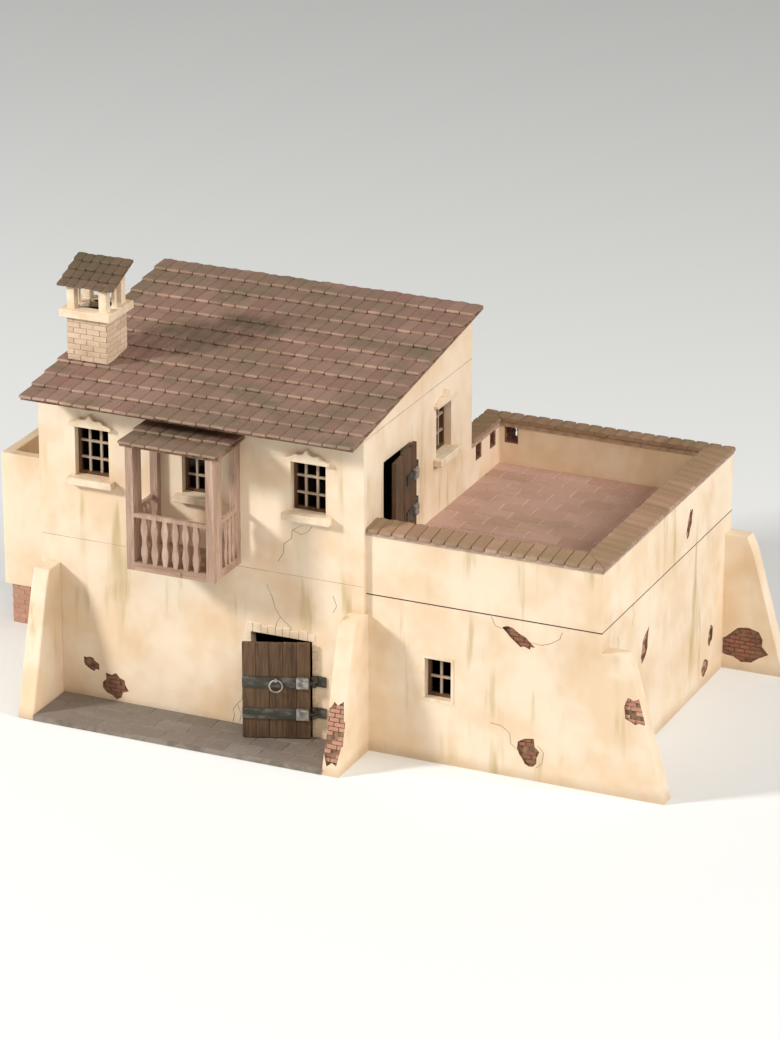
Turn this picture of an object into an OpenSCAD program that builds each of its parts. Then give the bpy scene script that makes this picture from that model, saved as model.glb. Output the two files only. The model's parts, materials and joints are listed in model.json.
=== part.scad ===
// Model farmhouse: a two-storey main block with a shed roof, a lower block with a roof terrace,
// four buttresses, a timber balcony, a raised side bay and a plank door on two strap hinges.
// Millimetres. +X runs along the front to the right, +Y to the back, +Z up.
// The origin is on the ground under the middle of the main block.

/* [Main block] */
// Length of the main block along the front
main_l = 139; // [110:1:175]
// Depth of the main block
main_d = 103.5; // [85:0.5:130]
// Thickness of the house walls
wall_t = 5; // [3.5:0.5:6.5]
// Height of the ground storey's walls
storey_h = 65.5; // [55:0.5:80]
// Thickness of the plate between the storeys
plate_t = 3.2; // [2:0.2:5]
// Height of the upper storey's walls
upper_h = 59.1; // [54:0.1:75]
// Height of the upper floor and the terrace above the ground storey's walls
floor_rise = 8.1; // [6.5:0.1:10]
// Thickness of the ground floor
ground_t = 2.2; // [1.5:0.1:3]

/* [Lower block] */
// Length of the lower block along the front
side_l = 97; // [75:1:125]
// Set-back of the lower block's front wall behind the main front wall
side_setback = 1.9; // [1:0.1:4]
// How far the lower block runs past the back of the main block
side_reach = 37.5; // [28:0.5:50]
// Thickness of the terrace floor
terrace_t = 5; // [3:0.5:6]
// Height of the parapet walls
parapet_h = 24.1; // [18:0.1:32]
// Thickness of the parapet walls
parapet_t = 8.5; // [6:0.5:11]
// Overhang of the coping on both sides of a parapet
coping_over = 1.1; // [0.5:0.1:2]
// Height of the coping at its outer edge
coping_low = 3; // [1.2:0.1:4]
// Height of the coping at its inner edge
coping_high = 4.2; // [3:0.1:8]
// Width of the embrasures in the parapets
embrasure_w = 6; // [4.5:0.5:8]
// Height of the embrasures' sills above the terrace
embrasure_sill = 9; // [3:0.5:12]

/* [Buttresses] */
// Width of a buttress
buttress_w = 7; // [5:0.5:9]
// Reach of a buttress at its foot
buttress_reach = 26.3; // [20:0.1:34]
// Height of a buttress at the wall
buttress_h = 57.5; // [45:0.5:65]
// Reach of a buttress's shoulder at its top
shoulder_reach = 9.3; // [6:0.1:13]
// Reach of a buttress's shoulder below its bevel
shoulder_low_reach = 12; // [9:0.1:16]
// Height of the shoulder's bevel
shoulder_bevel = 6; // [3:0.5:8]
// Distance of the left buttress from the main block's left face
buttress_inset = 1.3; // [0:0.1:6]
// How far the second buttress reaches past the main block's right face
buttress_lap = 1; // [0.5:0.1:3]

/* [Pavement] */
// Thickness of the pavement between the front buttresses
pavement_t = 2.2; // [1.2:0.1:2.4]

/* [Roof] */
// Pitch of the roof
roof_pitch = 8.2; // [5:0.1:12]
// Height of the gable walls at the front
gable_low = 2.7; // [1.5:0.1:5]
// Thickness of the tiled roof, measured upwards
roof_t = 3.2; // [2.4:0.1:5]
// Overhang of the eave at the front
eave_front = 15.7; // [10:0.1:22]
// Overhang of the roof at the back
eave_back = 7; // [3:0.5:12]
// Overhang of the roof at the right
verge_right = 1.8; // [0.5:0.1:4]

/* [Chimney] */
// Distance of the chimney from the main block's left face
stack_x = 4.8; // [3:0.1:30]
// Distance of the chimney behind the front wall's face
stack_y = 16.8; // [12:0.1:40]
// Width of the chimney stack
stack_w = 17.3; // [14:0.1:22]
// Depth of the chimney stack
stack_d = 16.5; // [14:0.1:20]
// Wall of the chimney stack
stack_wall = 3.6; // [2.5:0.1:5]
// Height of the stack above the roof at its front face
stack_h = 17.8; // [12:0.1:24]
// Height of the collar
collar_h = 3.2; // [2.5:0.1:6]
// Overhang of the collar round the stack
collar_over = 2.3; // [1:0.1:3.5]
// Width of the lantern's corner pillars
pillar_w = 3.4; // [2.5:0.1:4.5]
// Width of the slender pillars in the lantern's sides
slender_w = 1.6; // [1:0.1:2.2]
// Height of the lantern at the front
lantern_h = 9.2; // [6:0.1:12]
// Pitch of the chimney's roof
cap_pitch = 22; // [12:1:28]
// Thickness of the chimney's roof, measured upwards
cap_t = 2.2; // [1.5:0.1:3]
// Overhang of the chimney's roof at its sides
cap_side = 3.3; // [2:0.1:5]
// Overhang of the chimney's roof at its front
cap_front = 2; // [1:0.1:4]
// Overhang of the chimney's roof at its back
cap_back = 1; // [0.5:0.1:3]

/* [Windows] */
// Width of a large window opening
window_w = 14.7; // [11:0.1:18]
// Height of a large window opening
window_h = 20.8; // [16:0.1:25]
// Height of the front windows' sills above the upper floor
window_sill_z = 21.7; // [17:0.1:26]
// Spacing of the windows along the front
window_pitch = 46.3; // [40:0.1:50]
// Distance of the side window's middle behind the front wall's face
side_window_y = 75.6; // [70:0.1:85]
// Height of the side window's sill above the upper floor
side_window_sill = 24.4; // [19:0.1:28]
// Width of a window frame's bar
frame_w = 1.2; // [0.8:0.1:1.8]
// Thickness of a window frame
frame_t = 1.4; // [0.8:0.1:2]
// Width of the small window opening in the lower block
small_window_w = 10.8; // [8:0.1:14]
// Height of the small window opening
small_window_h = 16.4; // [11:0.1:18]
// Height of the small window's sill above the ground
small_window_z = 26.7; // [20:0.1:34]
// Distance of the small window's middle from the lower block's left end
small_window_x = 30.1; // [22:0.1:60]
// Length of a window sill
sill_l = 20; // [18.5:0.1:23]
// Height of a window sill
sill_h = 3; // [2:0.1:4]
// Reach of a window sill out of the wall
sill_out = 3.6; // [2:0.1:5]
// Length of the pediment over a window
pediment_l = 18.6; // [16:0.1:22]
// Height of the pediment at its middle
pediment_h = 5.6; // [4:0.1:6.5]
// Reach of the pediment out of the wall
pediment_out = 2; // [1:0.1:3]

/* [Ground door] */
// Width of the doorway
door_w = 26.1; // [20:0.1:32]
// Height of the doorway above the ground floor
door_h = 40.1; // [34:0.1:48]
// Distance of the doorway's middle from the main block's left face
door_x = 104; // [95:0.5:110]
// Thickness of a plank leaf
leaf_t = 1.8; // [1.2:0.1:2.2]
// How far a leaf laps over the doorway's sides and head
leaf_lap = 0.3; // [0:0.1:0.6]
// Gap between a leaf and the floor under it
leaf_gap = 0.4; // [0.3:0.1:1]
// Gap between a closed leaf and the wall
leaf_off = 0.7; // [0.4:0.1:1]
// Angle at which the ground door stands open
door_ajar = 20; // [0:1:60]
// Height of a hinge strap
strap_h = 4.2; // [3:0.1:5]
// Thickness of a hinge strap
strap_t = 0.6; // [0.4:0.1:1]
// Height of the lower strap's middle above the leaf's foot
strap_low = 10.5; // [7:0.1:13]
// Height of the upper strap's middle above the leaf's foot
strap_high = 23.7; // [19:0.1:28]
// Radius of a hinge knuckle
knuckle_r = 1; // [0.8:0.1:1.2]
// Radius of a hinge pin
pin_r = 0.45; // [0.3:0.05:0.5]
// Running clearance round a hinge pin
pin_clear = 0.05; // [0.03:0.01:0.1]
// Gap between a hinge's knuckles
knuckle_gap = 0.15; // [0.1:0.05:0.3]
// Length of the hinge plate on the wall
plate_l = 3.6; // [2.5:0.1:5]
// Radius of the ring handle
ring_r = 2.5; // [1.8:0.1:3]
// Radius of the ring handle's bar
ring_bar_r = 0.35; // [0.25:0.05:0.5]

/* [Upper doors] */
// Width of the terrace doorway
terrace_door_w = 25.5; // [20:0.1:28]
// Distance of the terrace doorway's middle behind the front wall's face
terrace_door_y = 31; // [24:0.1:36]
// Height of the upper doorways above the upper floor
upper_door_h = 39.7; // [34:0.1:46]
// Angle at which the terrace door stands open
terrace_ajar = 6; // [0:1:40]
// Width of the doorway in the left wall
bay_door_w = 21; // [16:0.1:26]
// Distance of the left doorway's middle behind the front wall's face
bay_door_y = 66.5; // [60:0.5:75]

/* [Balcony] */
// Length of the balcony along the front
balcony_l = 37.2; // [32:0.1:44]
// Reach of the balcony out of the wall
balcony_d = 23.5; // [18:0.1:28]
// Shift of the balcony's middle from the main block's middle
balcony_shift = -1.1; // [-3:0.1:3]
// Height of the balcony's beams
beam_h = 3.4; // [2.4:0.1:5]
// Thickness of the balcony's boards and beams
board_t = 1.6; // [1.2:0.1:2.4]
// Width of a balcony post along the front
post_w = 3.2; // [2.4:0.1:4]
// Depth of a corner post
corner_post_d = 7.2; // [5:0.1:9]
// Depth of a wall post
wall_post_d = 3; // [2:0.1:4]
// Height of the balcony posts
post_h = 50; // [42:0.5:52]
// Height of the handrail's top above the balcony's foot
handrail_z = 23.5; // [18:0.5:28]
// Balusters along the front
front_balusters = 6; // [4:1:7]
// Balusters along each side
side_balusters = 3; // [2:1:3]
// Width of a baluster at its belly
baluster_w = 2.9; // [2:0.1:3.2]
// Overhang of the balcony's roof
awning_over = 2.3; // [1:0.1:4]
// Thickness of the balcony's roof, measured upwards
awning_t = 3; // [2:0.1:4]
// Pitch of the balcony's roof
awning_pitch = 3; // [1:0.5:6]

/* [Side bay] */
// Reach of the side bay out of the left wall
bay_l = 49.5; // [38:0.5:60]
// Depth of the side bay
bay_d = 38.3; // [34:0.1:44]
// Distance of the side bay behind the front wall's face
bay_y = 58.2; // [52:0.1:60]
// Height of the brick plinth under the side bay
plinth_h = 17; // [10:0.5:25]
// Height of the side bay's rim above the ground
bay_top = 74.5; // [66:0.5:76]
// Thickness of the side bay's walls
bay_t = 4.6; // [3:0.1:6]
// Depth of the side bay's tray below its rim
bay_hollow = 16; // [10:1:24]
// Set-back of the plinth behind the bay's faces
plinth_inset = 3; // [1:0.1:5]

/* [Hidden] */

// Colours
plaster = [0.91, 0.80, 0.62];
trim_stone = [0.93, 0.86, 0.72];
roof_clay = [0.62, 0.48, 0.42];
terrace_clay = [0.56, 0.46, 0.41];
pavement_stone = [0.52, 0.46, 0.44];
brick_red = [0.72, 0.44, 0.36];
old_timber = [0.74, 0.60, 0.52];
dark_timber = [0.32, 0.23, 0.16];
dark_iron = [0.22, 0.24, 0.23];
inner_floor = [0.45, 0.36, 0.28];

// A cut's overrun past a face
cut = 1;

// Faces of the main block
left_x = -main_l / 2;
right_x = main_l / 2;
front_y = -main_d / 2;
back_y = main_d / 2;
upper_z = storey_h + plate_t;
floor_z = storey_h + floor_rise;
wall_top = upper_z + upper_h;

// Faces of the lower block
end_x = right_x + side_l;
side_front_y = front_y + side_setback;
side_back_y = back_y + side_reach;
parapet_top = storey_h + parapet_h;

// Doorways
door_left = left_x + door_x - door_w / 2;
door_right = left_x + door_x + door_w / 2;
door_top = ground_t + door_h;
hinge_side = 1.3;
hinge_out = leaf_off + leaf_t / 2;
door_hinge_x = door_right + hinge_side;
door_hinge_y = front_y - hinge_out;
leaf_w = door_w + leaf_lap;
leaf_h = door_h + leaf_lap - leaf_gap;
terrace_door_back = front_y + terrace_door_y + terrace_door_w / 2;
terrace_leaf_w = terrace_door_w + leaf_lap;
terrace_leaf_h = upper_door_h + leaf_lap - leaf_gap;
terrace_strap_high = terrace_leaf_h - 12;
terrace_strap_low = terrace_leaf_h - 27;
plate_off = knuckle_r + 0.1;
wall_plate_t = 0.7;

// Windows
window_z = floor_z + window_sill_z;
side_window_z = floor_z + side_window_sill;
side_window_mid = front_y + side_window_y;
small_window_mid = right_x + small_window_x;
frame_depth = 0.6;

// Height of the roof's underside above the ground at a place y
function roof_under(y) = wall_top + gable_low + (y - front_y) * tan(roof_pitch);
function roof_top(y) = roof_under(y) + roof_t;

// Chimney
stack_left = left_x + stack_x;
stack_front = front_y + stack_y;
stack_top = roof_top(stack_front) + stack_h;
collar_top = stack_top + collar_h;
function cap_under(y) = collar_top + lantern_h + (y - stack_front) * tan(cap_pitch);

// Balcony
balcony_mid = balcony_shift;
balcony_left = balcony_mid - balcony_l / 2;
balcony_foot = floor_z - beam_h;
post_top = balcony_foot + post_h;
baluster_h = handrail_z - beam_h - board_t;
front_span = balcony_l - 2 * post_w;
side_span = balcony_d - corner_post_d - wall_post_d;
awning_left = balcony_left - awning_over;

// Side bay
bay_left = left_x - bay_l;
bay_front = front_y + bay_y;

// A box from its lowest corner to its highest corner
module block(low, high) {
    translate(low) cube(high - low);
}

// A solid from its outline in Y and Z, from x_low to x_high
module along_x(x_low, x_high, outline) {
    translate([x_low, 0, 0]) rotate([90, 0, 90]) linear_extrude(x_high - x_low) polygon(outline);
}

// A solid from its outline in X and Z, from y_low to y_high
module along_y(y_low, y_high, outline) {
    translate([0, y_high, 0]) rotate([90, 0, 0]) linear_extrude(y_high - y_low) polygon(outline);
}

// Ground floor of both blocks, with a tongue through the doorway
module base_floor() {
    color(inner_floor) {
        block([left_x + wall_t, front_y + wall_t, 0], [right_x - wall_t, back_y - wall_t, ground_t]);
        block([door_left, front_y, 0], [door_right, front_y + wall_t + cut, ground_t]);
        block([right_x, side_front_y + wall_t, 0], [end_x - wall_t, side_back_y - wall_t, ground_t]);
    }
}

// Stone pavement between the front buttresses
module pavement() {
    color(pavement_stone)
        block([left_x + buttress_inset + buttress_w, front_y - buttress_reach, 0],
              [right_x + buttress_lap - buttress_w, front_y, pavement_t]);
}

module ground_front_wall_left() {
    color(plaster) block([left_x, front_y, 0], [door_left, front_y + wall_t, storey_h]);
}

module ground_front_wall_right() {
    color(plaster) block([door_right, front_y, 0], [right_x, front_y + wall_t, storey_h]);
}

module ground_front_lintel() {
    color(plaster) block([door_left, front_y, door_top], [door_right, front_y + wall_t, storey_h]);
}

module ground_left_wall() {
    color(plaster) block([left_x, front_y + wall_t, 0], [left_x + wall_t, back_y - wall_t, storey_h]);
}

module ground_right_wall() {
    color(plaster) block([right_x - wall_t, front_y + wall_t, 0], [right_x, back_y - wall_t, storey_h]);
}

module ground_back_wall() {
    color(plaster) block([left_x, back_y - wall_t, 0], [right_x, back_y, storey_h]);
}

// Plate between the storeys: a rim flush with the walls and a raised floor inside them
module storey_plate() {
    color(plaster) {
        block([left_x, front_y, storey_h], [right_x, back_y, upper_z]);
        block([left_x + wall_t, front_y + wall_t, storey_h], [right_x - wall_t, back_y - wall_t, floor_z]);
    }
}

// Window opening through a wall that runs along X
module window_cut_x(mid_x, low_z, w, h, face_y) {
    block([mid_x - w / 2, face_y - cut, low_z], [mid_x + w / 2, face_y + wall_t + cut, low_z + h]);
}

// Opening through a wall that runs along Y
module opening_cut_y(mid_y, low_z, w, h, face_x) {
    block([face_x - cut, mid_y - w / 2, low_z], [face_x + wall_t + cut, mid_y + w / 2, low_z + h]);
}

module upper_front_wall() {
    color(plaster) difference() {
        block([left_x, front_y, upper_z], [right_x, front_y + wall_t, wall_top]);
        for (i = [-1:1]) window_cut_x(i * window_pitch, window_z, window_w, window_h, front_y);
    }
}

module upper_back_wall() {
    color(plaster) difference() {
        block([left_x, back_y - wall_t, upper_z], [right_x, back_y, wall_top]);
        for (i = [-1, 1]) window_cut_x(i * window_pitch, window_z, window_w, window_h, back_y - wall_t);
    }
}

module upper_left_wall() {
    color(plaster) difference() {
        block([left_x, front_y + wall_t, upper_z], [left_x + wall_t, back_y - wall_t, wall_top]);
        opening_cut_y(front_y + bay_door_y, floor_z, bay_door_w, upper_door_h, left_x);
    }
}

module upper_right_wall() {
    color(plaster) difference() {
        block([right_x - wall_t, front_y + wall_t, upper_z], [right_x, back_y - wall_t, wall_top]);
        opening_cut_y(front_y + terrace_door_y, floor_z, terrace_door_w, upper_door_h, right_x - wall_t);
        opening_cut_y(side_window_mid, side_window_z, window_w, window_h, right_x - wall_t);
    }
}

// Low walls that carry the roof's slope, as one ring
module roof_gables() {
    color(plaster) difference() {
        along_x(left_x, right_x, [[front_y, wall_top], [back_y, wall_top],
            [back_y, roof_under(back_y)], [front_y, roof_under(front_y)]]);
        block([left_x + wall_t, front_y + wall_t, wall_top - cut],
              [right_x - wall_t, back_y - wall_t, roof_under(back_y) + cut]);
    }
}

module roof_tiles() {
    low_y = front_y - eave_front;
    high_y = back_y + eave_back;
    color(roof_clay) along_x(left_x, right_x + verge_right, [[low_y, roof_under(low_y)],
        [high_y, roof_under(high_y)], [high_y, roof_top(high_y)], [low_y, roof_top(low_y)]]);
}

// Brick stack with its flue, cut at its foot to the slope of the roof
module chimney_stack() {
    back = stack_front + stack_d;
    color(trim_stone) difference() {
        along_x(stack_left, stack_left + stack_w, [[stack_front, roof_top(stack_front)],
            [back, roof_top(back)], [back, stack_top], [stack_front, stack_top]]);
        block([stack_left + stack_wall, stack_front + stack_wall, roof_top(stack_front) - cut],
              [stack_left + stack_w - stack_wall, back - stack_wall, stack_top + cut]);
    }
}

// Collar round the stack's head with the pillars that carry the chimney's roof
module chimney_lantern() {
    back = stack_front + stack_d;
    right = stack_left + stack_w;
    mid_y = stack_front + stack_d / 2;
    head = cap_under(back) + cut;
    color(trim_stone) {
        difference() {
            block([stack_left - collar_over, stack_front - collar_over, stack_top],
                  [right + collar_over, back + collar_over, collar_top]);
            block([stack_left + stack_wall, stack_front + stack_wall, stack_top - cut],
                  [right - stack_wall, back - stack_wall, collar_top + cut]);
        }
        intersection() {
            union() {
                for (x = [stack_left, right - pillar_w])
                    for (y = [stack_front, back - pillar_w])
                        block([x, y, collar_top - cut / 10], [x + pillar_w, y + pillar_w, head]);
                for (x = [stack_left, right - slender_w])
                    block([x, mid_y - slender_w / 2, collar_top - cut / 10],
                          [x + slender_w, mid_y + slender_w / 2, head]);
            }
            along_x(stack_left - cut, right + cut, [[stack_front, stack_top], [back, stack_top],
                [back, cap_under(back)], [stack_front, cap_under(stack_front)]]);
        }
    }
}

module chimney_roof() {
    low_y = stack_front - cap_front;
    high_y = stack_front + stack_d + cap_back;
    color(roof_clay) along_x(stack_left - cap_side, stack_left + stack_w + cap_side,
        [[low_y, cap_under(low_y)], [high_y, cap_under(high_y)],
         [high_y, cap_under(high_y) + cap_t], [low_y, cap_under(low_y) + cap_t]]);
}

module side_front_wall() {
    color(plaster) difference() {
        block([right_x, side_front_y, 0], [end_x, side_front_y + wall_t, storey_h]);
        window_cut_x(small_window_mid, small_window_z, small_window_w, small_window_h, side_front_y);
    }
}

module side_right_wall() {
    color(plaster)
        block([end_x - wall_t, side_front_y + wall_t, 0], [end_x, side_back_y - wall_t, storey_h]);
}

module side_back_wall() {
    color(plaster) block([right_x - wall_t, side_back_y - wall_t, 0], [end_x, side_back_y, storey_h]);
}

module side_left_wall() {
    color(plaster) block([right_x - wall_t, back_y, 0], [right_x, side_back_y - wall_t, storey_h]);
}

module terrace_floor() {
    color(terrace_clay) block([right_x, side_front_y + parapet_t, floor_z - terrace_t],
        [end_x - parapet_t, side_back_y - parapet_t, floor_z]);
}

module parapet_front() {
    color(plaster)
        block([right_x, side_front_y, storey_h], [end_x, side_front_y + parapet_t, parapet_top]);
}

module parapet_right() {
    color(plaster) block([end_x - parapet_t, side_front_y + parapet_t, storey_h],
        [end_x, side_back_y - parapet_t, parapet_top]);
}

// Back parapet with one embrasure near its left end
module parapet_back() {
    slot_x = right_x + embrasure_w / 3;
    color(plaster) difference() {
        block([right_x - parapet_t, side_back_y - parapet_t, storey_h], [end_x, side_back_y, parapet_top]);
        block([slot_x, side_back_y - parapet_t - cut, floor_z + embrasure_sill],
              [slot_x + embrasure_w, side_back_y + cut, parapet_top + cut]);
    }
}

// Parapet behind the main block, with two embrasures
module parapet_left() {
    run = side_reach - parapet_t;
    color(plaster) difference() {
        block([right_x - parapet_t, back_y, storey_h], [right_x, side_back_y - parapet_t, parapet_top]);
        for (share = [1 / 4, 3 / 4])
            translate([0, back_y + run * share, 0])
                block([right_x - parapet_t - cut, -embrasure_w / 2, floor_z + embrasure_sill],
                      [right_x + cut, embrasure_w / 2, parapet_top + cut]);
    }
}

// Outline of the coping across a wall: its outer edge is at 0 and its inner edge at the far side
coping_w = parapet_t + 2 * coping_over;
coping_outline = [[0, 0], [coping_w, 0], [coping_w, coping_high], [0, coping_low]];

// A straight coping from a start point along +X with its outer edge towards -Y
module coping_run(run) {
    rotate([90, 0, 90]) linear_extrude(run) polygon(coping_outline);
}

// Plan of a coping run with a mitre at the end, or at both ends
module mitre_plan(run, start_mitre, end_mitre) {
    linear_extrude(coping_high + 2 * cut, center = true) polygon([[0, 0], [run, 0],
        [run - end_mitre, coping_w], [start_mitre, coping_w]]);
}

coping_out_x = end_x + coping_over;
coping_out_y = side_front_y - coping_over;
coping_back_y = side_back_y + coping_over;
coping_left_x = right_x - parapet_t - coping_over;

module coping(run, start_mitre, end_mitre) {
    color(roof_clay) intersection() {
        coping_run(run);
        translate([0, 0, coping_high / 2]) mitre_plan(run, start_mitre, end_mitre);
    }
}

module coping_front() {
    translate([right_x, coping_out_y, parapet_top]) coping(coping_out_x - right_x, 0, coping_w);
}

module coping_right() {
    translate([coping_out_x, coping_out_y, parapet_top]) rotate([0, 0, 90])
        coping(coping_back_y - coping_out_y, coping_w, coping_w);
}

module coping_back() {
    translate([coping_out_x, coping_back_y, parapet_top]) rotate([0, 0, 180])
        coping(coping_out_x - coping_left_x, coping_w, coping_w);
}

module coping_left() {
    translate([coping_left_x, coping_back_y, parapet_top]) rotate([0, 0, 270])
        coping(coping_back_y - back_y, coping_w, 0);
}

// Buttress with its back on the plane x = 0, reaching out towards +X, from y = 0 to its width
module buttress() {
    color(plaster) along_y(0, buttress_w, [[0, 0], [buttress_reach, 0],
        [shoulder_low_reach, buttress_h - shoulder_bevel], [shoulder_reach, buttress_h], [0, buttress_h]]);
}

module buttress_front_left() {
    translate([left_x + buttress_inset, front_y, 0]) rotate([0, 0, 270]) buttress();
}

// The second buttress covers the joint of the blocks, so its back is stepped to the lower block's set-back
module buttress_front_right() {
    step_x = right_x + buttress_lap - buttress_w;
    translate([step_x, front_y, 0]) rotate([0, 0, 270]) buttress();
    color(plaster) block([right_x, front_y - cut / 10, 0], [right_x + buttress_lap, side_front_y, buttress_h]);
}

module buttress_side_front() {
    translate([end_x, side_front_y, 0]) buttress();
}

module buttress_side_back() {
    translate([end_x, side_back_y - buttress_w, 0]) buttress();
}

// A rectangular frame that fills an opening of width w and height h, from y = 0 to its thickness
module frame_ring(w, h) {
    difference() {
        block([-w / 2, 0, 0], [w / 2, frame_t, h]);
        block([-w / 2 + frame_w, -cut, frame_w], [w / 2 - frame_w, frame_t + cut, h - frame_w]);
    }
}

// Frames stand near the inner face of the wall, so that the reveals are deep
module window_frames() {
    inner = wall_t - frame_t - frame_depth;
    color(dark_timber) {
        for (i = [-1:1])
            translate([i * window_pitch, front_y + inner, window_z]) frame_ring(window_w, window_h);
        for (i = [-1, 1])
            translate([i * window_pitch, back_y - inner - frame_t, window_z]) frame_ring(window_w, window_h);
        translate([right_x - inner, side_window_mid, side_window_z])
            rotate([0, 0, 90]) frame_ring(window_w, window_h);
        translate([small_window_mid, side_front_y + inner, small_window_z])
            frame_ring(small_window_w, small_window_h);
    }
}

// Places its child at the face of the large windows, with -Y pointing out of the wall
module at_windows(front_places) {
    for (i = front_places) translate([i * window_pitch, front_y, window_z]) children();
    for (i = [-1, 1]) translate([i * window_pitch, back_y, window_z]) rotate([0, 0, 180]) children();
    translate([right_x, side_window_mid, side_window_z]) rotate([0, 0, 90]) children();
}

module window_sills() {
    color(trim_stone) at_windows([-1, 0, 1])
        block([-sill_l / 2, -sill_out, -sill_h], [sill_l / 2, 0, 0]);
}

// Outline of a pediment: a flat foot, scrolled shoulders and a raised middle
pediment_steps = 12;
pediment_foot = 1.4;
function pediment_z(share) = pediment_foot
    + (pediment_h - pediment_foot) * (1 - abs(share)) * (0.75 + 0.25 * cos(720 * share));
pediment_outline = concat([[-pediment_l / 2, 0], [pediment_l / 2, 0]],
    [for (i = [0:pediment_steps]) let (share = 1 - 2 * i / pediment_steps)
        [share * pediment_l / 2, pediment_z(share)]]);

// The balcony's roof takes the place of the middle window's pediment
module window_pediments() {
    color(trim_stone) at_windows([-1, 1])
        translate([0, 0, window_h]) along_y(-pediment_out, 0, pediment_outline);
}

// Floor boards with the beams under their edges
module balcony_floor() {
    right = balcony_left + balcony_l;
    front = front_y - balcony_d;
    color(old_timber) difference() {
        block([balcony_left, front, balcony_foot], [right, front_y, floor_z]);
        block([balcony_left + board_t, front + board_t, balcony_foot - cut],
              [right - board_t, front_y - board_t, floor_z - board_t]);
        for (x = [balcony_left, right - post_w]) {
            block([x - cut * (x < balcony_mid ? 1 : 0), front - cut, balcony_foot - cut],
                  [x + post_w + cut * (x > balcony_mid ? 1 : 0), front + corner_post_d, floor_z + cut]);
            block([x - cut * (x < balcony_mid ? 1 : 0), front_y - wall_post_d, balcony_foot - cut],
                  [x + post_w + cut * (x > balcony_mid ? 1 : 0), front_y + cut, floor_z + cut]);
        }
    }
}

module balcony_posts() {
    front = front_y - balcony_d;
    color(old_timber) for (x = [balcony_left, balcony_left + balcony_l - post_w]) {
        block([x, front, balcony_foot], [x + post_w, front + corner_post_d, post_top]);
        block([x, front_y - wall_post_d, balcony_foot], [x + post_w, front_y, post_top]);
    }
}

// Half width of a baluster at a share of its height: two bellies, a waist and square ends
function baluster_half(share) = baluster_w / 2 * (0.78 + 0.22 * cos(720 * (share - 0.25)));
baluster_steps = 12;
baluster_tenon = board_t / 2;
baluster_edge = [for (i = [0:baluster_steps]) let (share = i / baluster_steps)
    [baluster_half(share), share * baluster_h]];
baluster_outline = concat(
    baluster_edge,
    [[baluster_half(1), baluster_h + baluster_tenon], [-baluster_half(1), baluster_h + baluster_tenon]],
    [for (i = [baluster_steps:-1:0]) [-baluster_edge[i][0], baluster_edge[i][1]]]);

// A panel of flat balusters under a handrail, along +X from 0 to its span, board_t thick towards +Y
module rail_panel(span, count) {
    block([0, 0, beam_h + baluster_h], [span, board_t, handrail_z]);
    for (i = [1:count])
        translate([span * i / (count + 1), 0, beam_h]) along_y(0, board_t, baluster_outline);
}

module balcony_rails() {
    front = front_y - balcony_d;
    right = balcony_left + balcony_l;
    color(old_timber) {
        translate([balcony_left + post_w, front, balcony_foot]) rail_panel(front_span, front_balusters);
        translate([balcony_left + board_t, front + corner_post_d, balcony_foot]) rotate([0, 0, 90])
            rail_panel(side_span, side_balusters);
        translate([right, front + corner_post_d, balcony_foot]) rotate([0, 0, 90])
            rail_panel(side_span, side_balusters);
    }
}

module balcony_roof() {
    low_y = front_y - balcony_d - awning_over;
    rise = (front_y - low_y) * tan(awning_pitch);
    color(roof_clay) along_x(awning_left, awning_left + balcony_l + 2 * awning_over,
        [[low_y, post_top], [front_y, post_top], [front_y, post_top + awning_t + rise],
         [low_y, post_top + awning_t]]);
}

// A plank leaf in its hinge's frame: the axis is at the origin, the leaf runs towards -X and faces -Y
module leaf(w, h) {
    block([-hinge_side - w, -leaf_t / 2, 0], [-hinge_side, leaf_t / 2, h]);
}

knuckle_h = (strap_h - 2 * knuckle_gap) / 3;

// The strap of one hinge with its middle knuckle, centred on z = 0
module strap(w) {
    difference() {
        union() {
            block([-hinge_side - w, -leaf_t / 2 - strap_t, -strap_h / 2],
                  [-hinge_side, -leaf_t / 2, strap_h / 2]);
            block([-hinge_side - cut / 10, -leaf_t / 2 - strap_t, -knuckle_h / 2],
                  [0, -leaf_t / 2, knuckle_h / 2]);
            cylinder(h = knuckle_h, r = knuckle_r, center = true, $fn = 48);
        }
        cylinder(h = strap_h, r = pin_r + pin_clear, center = true, $fn = 48);
    }
}

// The wall's half of one hinge: a plate, two knuckles and the pin, centred on z = 0
module bracket() {
    plate_low = hinge_out - wall_plate_t;
    block([plate_off, plate_low, -strap_h / 2], [plate_off + plate_l, hinge_out, strap_h / 2]);
    for (side = [-1, 1])
        translate([0, 0, side * (knuckle_h + knuckle_gap)]) {
            cylinder(h = knuckle_h, r = knuckle_r, center = true, $fn = 48);
            block([0, 0, -knuckle_h / 2], [plate_off + cut / 10, hinge_out, knuckle_h / 2]);
        }
    cylinder(h = strap_h, r = pin_r, center = true, $fn = 48);
}

module at_door() {
    translate([door_hinge_x, door_hinge_y, ground_t + leaf_gap]) children();
}

module door_leaf() {
    color(dark_timber) at_door() rotate([0, 0, door_ajar]) leaf(leaf_w, leaf_h);
}

module door_straps() {
    color(dark_iron) at_door() rotate([0, 0, door_ajar])
        for (z = [strap_low, strap_high]) translate([0, 0, z]) strap(leaf_w);
}

module door_brackets() {
    color(dark_iron) at_door() for (z = [strap_low, strap_high]) translate([0, 0, z]) bracket();
}

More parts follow.
